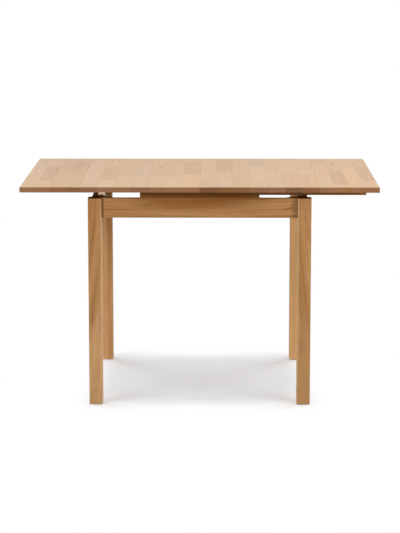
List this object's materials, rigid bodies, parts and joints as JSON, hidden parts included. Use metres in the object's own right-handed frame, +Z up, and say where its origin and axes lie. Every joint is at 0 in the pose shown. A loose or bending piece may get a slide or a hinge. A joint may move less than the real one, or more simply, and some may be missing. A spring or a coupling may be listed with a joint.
{
  "type": "extending dining table",
  "caption": "Square-legged wooden dining table whose top is lengthened by a loose leaf at each end, carried on pull-out bearers under the top.",
  "frame": {"origin": "on the floor, under the middle of the table", "axes": "+X along the extension, towards the right leaf seen from the front; +Y to the back; +Z up"},
  "size_m": [1.2, 0.8, 0.75],
  "materials": {
    "oak_top": "oiled oak staves, satin",
    "oak_frame": "oiled oak, satin",
    "oak_bearer": "planed oak",
    "beech": "unfinished beech",
    "zinc_steel": "zinc plated",
    "nylon": "matte"
  },
  "bodies": {
    "frame": {"apron_back": "oak_frame", "apron_front": "oak_frame", "centre_rail": "oak_frame", "corner_block_back_left": "oak_frame", "corner_block_back_right": "oak_frame", "corner_block_front_left": "oak_frame", "corner_block_front_right": "oak_frame", "end_rail_left": "oak_frame", "end_rail_right": "oak_frame", "flange_nut_back_left": "zinc_steel", "flange_nut_back_right": "zinc_steel", "flange_nut_front_left": "zinc_steel", "flange_nut_front_right": "zinc_steel", "glide_back_left": "nylon", "glide_back_right": "nylon", "glide_front_left": "nylon", "glide_front_right": "nylon", "guide_block_left_back": "beech", "guide_block_left_front": "beech", "guide_block_right_back": "beech", "guide_block_right_front": "beech", "hanger_bolt_back_left": "zinc_steel", "hanger_bolt_back_right": "zinc_steel", "hanger_bolt_front_left": "zinc_steel", "hanger_bolt_front_right": "zinc_steel", "inner_guide_left": "beech", "inner_guide_right": "beech", "leg_back_left": "oak_frame", "leg_back_right": "oak_frame", "leg_front_left": "oak_frame", "leg_front_right": "oak_frame", "stop_block_left": "beech", "stop_block_right": "beech", "table_top": "oak_top", "top_screw_back_left": "zinc_steel", "top_screw_back_right": "zinc_steel", "top_screw_front_left": "zinc_steel", "top_screw_front_right": "zinc_steel"},
    "right_bearers": {"bearer_right_back": "oak_bearer", "bearer_right_front": "oak_bearer", "heel_right_back": "oak_bearer", "heel_right_front": "oak_bearer", "tie_right": "oak_bearer"},
    "left_bearers": {"bearer_left_back": "oak_bearer", "bearer_left_front": "oak_bearer", "heel_left_back": "oak_bearer", "heel_left_front": "oak_bearer", "tie_left": "oak_bearer"},
    "right_leaf": {"leaf_dowel_right_back": "beech", "leaf_dowel_right_front": "beech", "leaf_right": "oak_top"},
    "left_leaf": {"leaf_dowel_left_back": "beech", "leaf_dowel_left_front": "beech", "leaf_left": "oak_top"}
  },
  "joints": [
    {"name": "right_bearer_slide", "type": "slide", "parent": "frame", "child": "right_bearers", "axis": [-1, 0, 0], "range_m": [0, 0.18]},
    {"name": "left_bearer_slide", "type": "slide", "parent": "frame", "child": "left_bearers", "axis": [1, 0, 0], "range_m": [0, 0.18]},
    {"name": "right_leaf_pull", "type": "slide", "parent": "frame", "child": "right_leaf", "axis": [1, 0, 0], "range_m": [0, 0.04]},
    {"name": "left_leaf_pull", "type": "slide", "parent": "frame", "child": "left_leaf", "axis": [-1, 0, 0], "range_m": [0, 0.04]}
  ]
}
